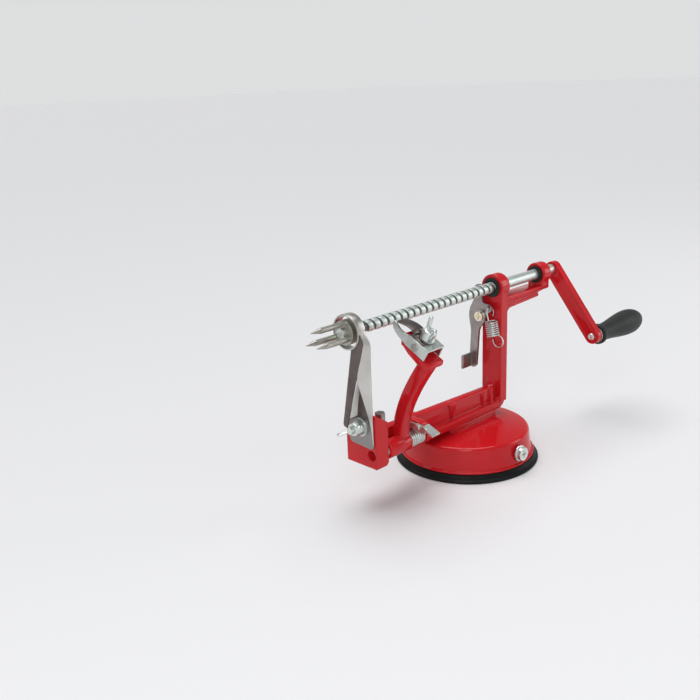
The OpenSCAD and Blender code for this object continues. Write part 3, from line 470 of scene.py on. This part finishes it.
thread = trace("thread", [(first_x + h, 0, -r) for r, h in (
    (root_r, 0.18), (root_r, 2.02), (3.42, 2.16), (4.0, 2.24), (4.15, 2.36), (4.18, 2.55),
    (4.18, pitch - 0.35), (4.15, pitch - 0.16), (4.0, pitch - 0.04), (3.42, pitch + 0.04),
    (root_r, pitch + 0.18))])
bpy.ops.object.mode_set(mode="OBJECT")
winding = thread.modifiers.new("thread", "SCREW")
winding.axis, winding.angle, winding.screw_offset = "X", 2 * pi, pitch * MM
winding.iterations, winding.steps, winding.render_steps = turns, 48, 48
winding.use_merge_vertices = True
bpy.ops.object.modifier_apply(modifier=winding.name)
bpy.ops.transform.translate(value=(0, 0, shaft_z * MM))
bpy.ops.object.transform_apply(location=True)
bpy.ops.object.mode_set(mode="EDIT")
close_up(thread, 0)
shaft = turned("shaft", [
    (0, -126), (neck_r, -126), (neck_r, thread_front), (4.0, thread_front),
    (crest_r, thread_front + 0.2), (crest_r, first_x + 0.1), (root_r, first_x + 0.2),
    (root_r + 0.01, last_x), (crest_r, last_x + 0.1), (crest_r, 110.4), (3.8, 110.8),
    (neck_r, 110.8), (neck_r, 120.0), (2.8, 120.2), (0, 120.2)], (0, 0, shaft_z), X, Z)
rolled, shader, place = finish("rolled_zinc_groove_shade", Metallic=1.0)
# painted shade: the plating's colour darkens with depth below the crest, darkest at the groove's root
across, above = place.axis(1), place.axis(2) - shaft_z * MM
depth = ((across * across + above * above) ** 0.5 - root_r * MM) * (1 / MM)
feed(shader,
     Base_Color=depth.between((0.16, 0.165, 0.16), (0.64, 0.71, 0.67)),
     Roughness=place.noise(300, 4) * 0.16 + 0.36,
     Normal=place.noise(1400, 3).relief(0.00004, 0.12, 0.0003))
fit(joined("threaded_shaft", shaft, thread), rolled, "zinc", "screw", "feed_screw")

# Fork: a turned steel hub with three ground prongs driven into it, held on the front end of
# the shaft by a plated screw. Its steel is bare and dull, with fine turning lines.
dull, shader, place = finish("dull_steel", Metallic=1.0)
feed(shader,
     Base_Color=place.noise(150, 4).between((0.36, 0.35, 0.31), (0.52, 0.51, 0.46)),
     Roughness=place.noise(500, 4, (0.1, 1, 1)) * 0.2 + 0.26,
     Normal=place.noise(900, 4, (0.1, 1, 1)).relief(0.00005, 0.25, 0.0004))
plate(dull, "fork_hub", "fork_prongs")
plate(zinc, "fork_screw")

# Crank: a flat cast bar in red enamel, nutted on the shaft's neck. A plated pin with a domed
# rivet head stands on its other end, with a washer for the knob.
crank_r, crank_turn, crank_front = 64.5, radians(38), 111
knob_y, knob_z = -crank_r * sin(crank_turn), shaft_z - crank_r * cos(crank_turn)
crank = slab("crank_bar", bar((0, shaft_z), (knob_y, knob_z), 6.3, 20), "x", crank_front, 117, 1.2,
             [(0, shaft_z, 3.02), (knob_y, knob_z, 2.52)])
fit(crank, red, "red_enamel", "screw", "crank_arm")
rivet = turned("crank_rivet", [
    (0, -1.5), (1.3, -1.45), (2.2, -1.1), (2.8, -0.3), (2.8, 0), (2.5, 0), (2.5, 67.4), (0, 67.4)],
    (crank_front, knob_y, knob_z), X, Z, 0, 48)
fit(rivet, zinc, "zinc", "screw", "crank_pin")
plate(zinc, "crank_nut", "knob_washer")

# Knob: a moulding of black plastic with a collar, a slim waist and a long swollen end. It
# is bored for the crank's pin and spins free on it.
waist_r, waist_x, belly_r, belly_x, tip_x = 7.056, 8, 10.5, 48, 68
collar = [(7.3, 0), (7.9, 0.25), (8.3, 0.9), (8.4, 1.4), (8.4, 3.2), (8.2, 3.9), (7.7, 5.0),
          (7.25, 6.2)]
swell = [(waist_r + (belly_r - waist_r) * (1 - cos(pi * i / 24)) / 2,
          waist_x + (belly_x - waist_x) * i / 24) for i in range(25)]
round_end = [(belly_r * cos(pi * i / 32), belly_x + (tip_x - belly_x) * sin(pi * i / 32))
             for i in range(1, 17)]
knob = turned("knob", [(0, 61), (2.56, 61), (2.56, 0)] + collar + swell + round_end,
              (118.4, knob_y, knob_z), X, Z)
fit(knob, black, "black_plastic", "knob", "crank_knob")

# Release lever: stamped from satin steel sheet, with a finger that rides in the thread and a
# bent thumb tab. A brass screw and a plated washer hold it on the post's boss.
hook_y, hook_z = -1.5, 113.5
steel, shader, place = finish("satin_steel", Metallic=1.0)
lines = place.noise(420, 3, (1, 1, 0.06))
feed(shader,
     Base_Color=place.noise(60, 3).between((0.26, 0.225, 0.22), (0.40, 0.36, 0.35)),
     Roughness=lines * 0.3 + 0.16,
     Normal=lines.relief(0.00004, 0.3, 0.0005))
finger = arc((8.6, 126.8), 3.6, 0, 180) + [(5.0, 120), (4.6, 117.6), (3.4, 116.2), (1.4, 115.8)]
hook_ear = arc((-0.5, 112.3), 3.4, 90, 245)
near_edge = [(0.2, 108.4), (1.1, 105.2), (2.4, 101.8), (4.6, 98.8), (6.8, 96.4), (8.0, 93), (8.4, 89),
             (10.1, 66)]
round_foot = arc((13.6, 66), 3.5, 180, 360)
far_edge = [(15.5, 92), (15.9, 95.6), (16.8, 99.4), (17.4, 103.6), (17.3, 107.4), (16.3, 111.4),
            (14.4, 115), (12.9, 118), (12.3, 121)]
lever_plate = slab("lever_plate", finger + hook_ear + near_edge + round_foot + far_edge,
                   "x", finger_x - 1, finger_x + 1, 0.6,
                   [(release_y, release_z, 2.1), (hook_y, hook_z, 1.3)])
thumb_tab = slab("thumb_tab", [(15, 62.7), (25.9, 62.7), (25.9, 73.7), (15, 73.7)],
                 "y", 15.5, 17.5, 0.5)
finger_tip = slab("finger_tip", [(3.45, 126.9), (5.95, 126.9), (5.95, 129.1), (3.45, 129.1)],
                  "x", finger_x - 0.5, finger_x + 0.5, 0.2)
release_plate = joined("release_plate", lever_plate, thumb_tab, finger_tip)
fit(release_plate, steel, "stainless", "release", "release_lever")
brass, shader, place = finish("bright_brass", Metallic=1.0)
feed(shader,
     Base_Color=place.noise(200, 3).between((0.80, 0.72, 0.52), (0.90, 0.84, 0.68)),
     Roughness=place.noise(300, 3) * 0.2 + 0.14,
     Normal=place.noise(1500, 3).relief(0.00003, 0.3, 0.0003))
plate(brass, "lever_pivot_screw")
plate(zinc, "lever_washer")

# Release spring: an extension spring wound from plated wire, with a wide eye round the
# post's peg and a hook through the lever. It pulls the lever's finger into the thread.
eye_r, coil_r, hook_r = 4.8, 4.6, 4


def wire(name, path, r):
    """Round wire along a path in millimetres."""
    bpy.ops.object.select_all(action="DESELECT")
    bpy.ops.curve.primitive_nurbs_path_add()
    piece = bpy.context.object
    piece.data.splines.clear()
    run = piece.data.splines.new("POLY")
    run.points.add(len(path) - 1)
    for point, at in zip(run.points, path):
        point.co = (*(Vector(at) * MM), 1)
    piece.data.bevel_depth, piece.data.bevel_resolution = r * MM, 3
    piece.data.use_fill_caps = True
    bpy.ops.object.convert(target="MESH")
    piece = bpy.context.object
    piece.name = piece.data.name = name
    bpy.ops.object.mode_set(mode="EDIT")
    return close_up(piece, 0)


def coil(low, along, out, beside, r, rise, turns, lead=0):
    """Path of a coil in millimetres, 24 points to a turn, from some points before its foot."""
    return [low + along * rise * i / 24 + r * (out * cos(i * pi / 12) + beside * sin(i * pi / 12))
            for i in range(-lead, int(24 * turns) + 1)]


peg, hook = Vector((finger_x, peg_y, peg_z)), Vector((finger_x, hook_y, hook_z))
pull = (hook - peg).normalized()
beside = Vector((0, pull.z, -pull.y))
eye = peg + X * 4.2 + pull * 2.6
spring_path = [eye + eye_r * (beside * cos(a) + pull * sin(a))
               for a in [radians(20 - 7.5 * i) for i in range(37)]]
spring_path += coil(eye - X * coil_r + pull * eye_r, pull, X, beside, coil_r, 1.65, 7.5)
last = spring_path[-1]
spring_path += [last + pull * 0.6 - beside * 0.9, last + pull * 1.2 - beside * 1.2]
spring_path += [hook - pull * hook_r + hook_r * (X * cos(a) + pull * sin(a))
                for a in [radians(195 - 10 * i) for i in range(26)]]
release_coil = wire("release_coil", spring_path, 0.46)
release_coil.data.materials.append(zinc)
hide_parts("release_spring")
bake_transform(release_coil)

# Peeling arm: a bowed casting in red enamel, with a long hub that swings on a plated rod in
# the block and a slanted head for the blade holder. A set screw keeps the rod in place.
head_x, head_y, head_z, slope = -87, -36.7, 120.7, radians(28)
rod_bore = 2.55


def on_head(pairs):
    """Points along and above the arm's head, as the machine's own Y and Z."""
    return [(head_y + a * cos(slope) - b * sin(slope), head_z + a * sin(slope) + b * cos(slope))
            for a, b in pairs]


foot_at, bow_at, tip_at = Vector((pivot_y, pivot_z)), Vector((-8.6, 65.5)), Vector((-38, 105))
sides = [[], []]
for i in range(33):
    t = i / 32
    at = foot_at * (1 - t) ** 2 + bow_at * 2 * t * (1 - t) + tip_at * t * t
    way = ((bow_at - foot_at) * (1 - t) + (tip_at - bow_at) * t).normalized()
    for side, sign in zip(sides, (1, -1)):
        side.append(tuple(at + Vector((-way.y, way.x)) * sign * (4.2 + 0.6 * t)))
limb = slab("arm_limb", sides[0] + sides[1][::-1], "x", -91.5, -82.5, 1.2)
drill(limb, (-110, pivot_y, pivot_z), X, rod_bore, 40)
hub = turned("arm_hub", tube(rod_bore, 6.5, 21.3), (-103.8, pivot_y, pivot_z), X, Z, 0.7, 64)
seat = slab("arm_seat", on_head([(-3.4, -11.5), (12.6, -11.5), (12.6, -1.3), (-3.4, -1.3)]),
            "x", -93.8, -80.2, 0.4)
shoulder = slab("arm_shoulder", on_head([
    (-14, -8.5), (13.5, -8.5), (11.5, -10.6), (4, -13), (-7, -14.5), (-13.2, -14.2), (-14.6, -11.5)]),
    "x", -94.9, -79.1, 1.0)
fit(joined("arm_casting", limb, hub, seat, shoulder), red, "red_enamel", "arm", "peeler_arm")
plate(zinc, "pivot_rod", "pivot_washer")
plate(steel, "pivot_set_screw")

# Arm spring and latch: a torsion spring of bright wire on the rod, with one leg on the arm
# and one on the rail, presses the arm inwards. A plated latch on its own pin holds it away.
coil_rise, coil_turns = 1.95, 6.5
coil_low = Vector((-81.4, pivot_y, pivot_z))
coil_end = coil_low + X * coil_rise * coil_turns
coil_path = [coil_low + Vector(p) for p in ((-0.6, 5.6, 10), (-0.5, 5.3, 5))]
coil_path += coil(coil_low, X, -Z, -Y, 5, coil_rise, coil_turns, lead=6)
coil_path += [coil_end + Vector(p) for p in ((0.2, 4, 4.9), (0.3, 9.2, 4.5))]
arm_coil = wire("arm_coil", coil_path, 0.7)
arm_coil.data.materials.append(zinc)
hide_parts("arm_spring")
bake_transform(arm_coil)
plate(zinc, "catch_pin", "arm_latch", "latch_pin")

# Blade holder: a channel folded from plated sheet, riveted on the arm's head. The peeling
# blade, a bowed steel strip darkened brown with painted shade, is clamped on it by a stud and a wing
# nut.
plate(zinc, "blade_holder", "blade_stud", "blade_washer")
plate(dull, "holder_rivet")
# painted shade: a dark brown base colour stands in for the shade and dark reflection on the blades
shaded_blade_steel, shader, place = finish("blade_steel_painted_shade", Metallic=1.0)
lines = place.noise(380, 3, (1, 1, 0.08))
feed(shader,
     Base_Color=place.noise(50, 3).between((0.105, 0.082, 0.078), (0.175, 0.145, 0.14)),
     Roughness=lines * 0.25 + 0.22,
     Normal=lines.relief(0.00004, 0.25, 0.0004))


def smooth_line(points, n=6):
    """A smooth chain through points, as a bent sheet's edge runs."""
    points = [Vector(p) for p in points]
    ends = [points[0] * 2 - points[1]] + points + [points[-1] * 2 - points[-2]]
    line = []
    for a, b, c, d in zip(ends, ends[1:], ends[2:], ends[3:]):
        for i in range(n):
            t = i / n
            line.append(0.5 * (2 * b + (c - a) * t + (2 * a - 5 * b + 4 * c - d) * t ** 2 +
                               (3 * b - a - 3 * c + d) * t ** 3))
    return line + [points[-1]]


head_up = Vector((0, -sin(slope), cos(slope)))
stud_at = Vector((head_x, head_y, head_z))
upper = smooth_line([
    (-4, 0.8), (4.6, 0.8), (6.2, 2.6), (8.2, 3.9), (13, 3.6), (18, 2.2), (23.2, 0.2)])
lower = smooth_line([
    (-4, 0.02), (5.2, 0.02), (6.8, 1.9), (8.5, 3.0), (13, 2.8), (18, 1.4), (23.2, -0.6)])
blade = slab("peeling_blade", on_head(upper + lower[::-1]), "x", -93.9, -84.1, 0.2)
drill(blade, stud_at - head_up * 5, head_up, 2.02, 10)
fit(blade, shaded_blade_steel, "stainless", "arm", "peeler_blade")

# Wing nut of the blade: cast, with a domed hub and two rounded ears, and zinc plated. It is
# screwed down on the stud's washer.
head_along = Vector((0, cos(slope), sin(slope)))
ears = X * cos(radians(54)) + head_along * sin(radians(54))


def wing_nut(name, foot, along, ears, bore, high, span, ear):
    """A wing nut on a point along an axis, with its ears to both sides, in millimetres."""
    thick, tip_r, gap = 2.4, 2.4, 0.02
    across = along.cross(ears)
    parts = [turned(name, [
        (bore + gap, 0), (bore + 3.2, 0), (bore + 3.05, 1.6), (bore + 2.7, high * 0.6),
        (bore + 2, high - 0.5), (bore + 1.4, high), (bore + gap, high), (bore + gap, 0)],
        foot, along, ears, 0.3, 48)]
    rim = [(bore + 0.6, 1), (bore + 3.4, 0.8)]
    rim += arc((span - tip_r, ear - tip_r), tip_r, -40, 130, 12)
    rim += [(bore + 2.6, high - 0.2), (bore + 0.6, high - 0.7)]
    for out in (ears, -ears):
        wing = trace("ear", [foot + out * a + along * b - across * thick / 2 for a, b in rim])
        bpy.ops.mesh.edge_face_add()
        rise = across * thick * MM
        bpy.ops.mesh.extrude_region_move(TRANSFORM_OT_translate={"value": rise})
        parts.append(close_up(wing, 0.6))
    return joined(name, *parts)


nut = wing_nut("arm_nut", stud_at + head_up * 1.8, head_up, ears, 2, 6.5, 9.5, 12.5)
fit(nut, zinc, "zinc", "arm", "blade_wing_nut")

# Slicer: brushed stainless sheet, with a coring ring round the fork's hub. Its near side is
# folded back from the ring and runs down to the foot on the block.
front_x, back_x = -123.5, -117.55
sheet, shader, place = finish("brushed_sheet", Metallic=1.0)
lines = place.noise(420, 3, (1, 1, 0.06))
feed(shader,
     Base_Color=place.noise(60, 3).between((0.50, 0.485, 0.455), (0.62, 0.61, 0.585)),
     Roughness=lines * 0.3 + 0.2,
     Normal=lines.relief(0.00004, 0.3, 0.0004))


def folded(name, front, back, thick, cuts=4):
    """Sheet stretched between two edges, row by row, then given its thickness."""
    front, back = smooth_line(front), smooth_line(back)
    points = [a.lerp(b, i / cuts) * MM for a, b in zip(front, back) for i in range(cuts + 1)]
    row = cuts + 1
    faces = [(r * row + i, r * row + i + 1, r * row + row + i + 1, r * row + row + i)
             for r in range(len(front) - 1) for i in range(cuts)]
    mesh = bpy.data.meshes.new(name)
    mesh.from_pydata(points, [], faces)
    piece = bpy.data.objects.new(name, mesh)
    bpy.context.collection.objects.link(piece)
    bpy.context.view_layer.objects.active = piece
    wall = piece.modifiers.new("sheet", "SOLIDIFY")
    wall.thickness, wall.offset = thick * MM, 0
    bpy.ops.object.modifier_apply(modifier=wall.name)
    reopen(piece)
    return close_up(piece, 0.2)


core_ring = turned("core_ring", tube(11, 12, 6.8), (-124.4, 0, shaft_z), X, Z, 0.2)
side_rows = [
    (129.4, (front_x, -11.2), (-118, -11.3)), (121.4, (front_x, -14.3), (back_x, -15.3)),
    (112.6, (front_x, -12.4), (back_x, -15.5)), (104, (front_x, -9.7), (back_x, -15.5)),
    (96, (-123.3, -8.3), (back_x, -15.5)), (84, (-121.2, -10.2), (back_x, -15.5)),
    (73, (-119.2, -12.2), (back_x, -15.5)), (62.4, (-118.3, -14.4), (back_x, -15.6)),
    (55, (-118.2, -15.2), (back_x, -15.6)), (50.6, (-118.1, -15.4), (back_x, -15.6))]
near_side = folded("near_side", [(*front, z) for z, front, back in side_rows],
                   [(*back, z) for z, front, back in side_rows], 0.95)
fit(joined("slicer_sheet", core_ring, near_side), sheet, "stainless", "base", "slicer_blade")

# Slicing strip, inner side and foot: the strip wraps the ring and slants down in front, its
# steel darkened brown with painted shade. A side painted pale with painted light joins it to the
# foot, which has painted shade, dark high up and light low down.
stud_y, stud_z = -4.5, 61.5
inner_side = folded("inner_side", [(front_x, -7.6, 96), (front_x, -3.9, 84), (front_x, 1.2, 67.5)],
                    [(-121.8, -8.2, 95), (back_x, -3.4, 83.6), (back_x, -1, 68.6)], 0.85)
# painted light: a near-white, barely metallic base colour stands in for the bright reflection on the
# inner side
ground, shader, place = finish("pale_sheet_painted_light", Metallic=0.15)
feed(shader,
     Base_Color=place.noise(60, 3).between((0.82, 0.80, 0.77), (0.90, 0.89, 0.86)),
     Roughness=place.noise(420, 3, (1, 1, 0.06)) * 0.2 + 0.45)
strip = slab("slicing_strip", smooth_line([
    (-12.4, 128.2), (-14.4, 124.4), (-14.9, 121), (-12.6, 113), (-10, 104), (-4.2, 84), (1.6, 64)]) +
    arc((4, 62.8), 2.4, 180, 380) + arc((0, shaft_z), 11.5, 249, 181), "x", -124, -123, 0.25)
foot_plate = slab("foot_plate", [(-8.6, 100), (-15.2, 100), (-15.2, 56), (-16, 50.4)] +
                  arc((-12.5, 50.4), 3.5, 180, 270) + arc((3.6, 51.4), 3.5, 270, 360) +
                  [(7.1, 67.4), (0.5, 67.4), (-3.1, 88)], "x", -118, -117, 0.25,
                  [(stud_y, stud_z, 2.52)])
# painted shade: the foot's colour runs from light low down to dark high up
foot_shade, shader, place = finish("foot_painted_shade", Metallic=1.0)
shade_low, shade_high = 45 * MM, 85 * MM
light_low_down = 1 - (place.axis(2) - shade_low) * (1 / (shade_high - shade_low))
lines = place.noise(400, 3, (1, 1, 0.07))
feed(shader,
     Base_Color=(light_low_down + lines * 0.2 - 0.1).between((0.13, 0.106, 0.102), (0.30, 0.28, 0.27)),
     Roughness=lines * 0.25 + 0.22,
     Normal=lines.relief(0.00004, 0.25, 0.0004))
for piece, material in ((inner_side, ground), (strip, shaded_blade_steel), (foot_plate, foot_shade)):
    piece.data.materials.clear()
    piece.data.materials.append(material)
    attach(piece, "base")

# Wing nut of the slicer: the same cast and plated kind, a size larger, on a stud that is
# screwed into the block. With its washer it clamps the slicer's foot.
ears = Y * sin(radians(118)) + Z * cos(radians(118))
nut = wing_nut("slicer_nut", Vector((-119.2, stud_y, stud_z)), -X, ears, 2.5, 7, 13, 12)
fit(nut, zinc, "zinc", "base", "slicer_wing_nut")
plate(zinc, "slicer_stud", "slicer_washer")
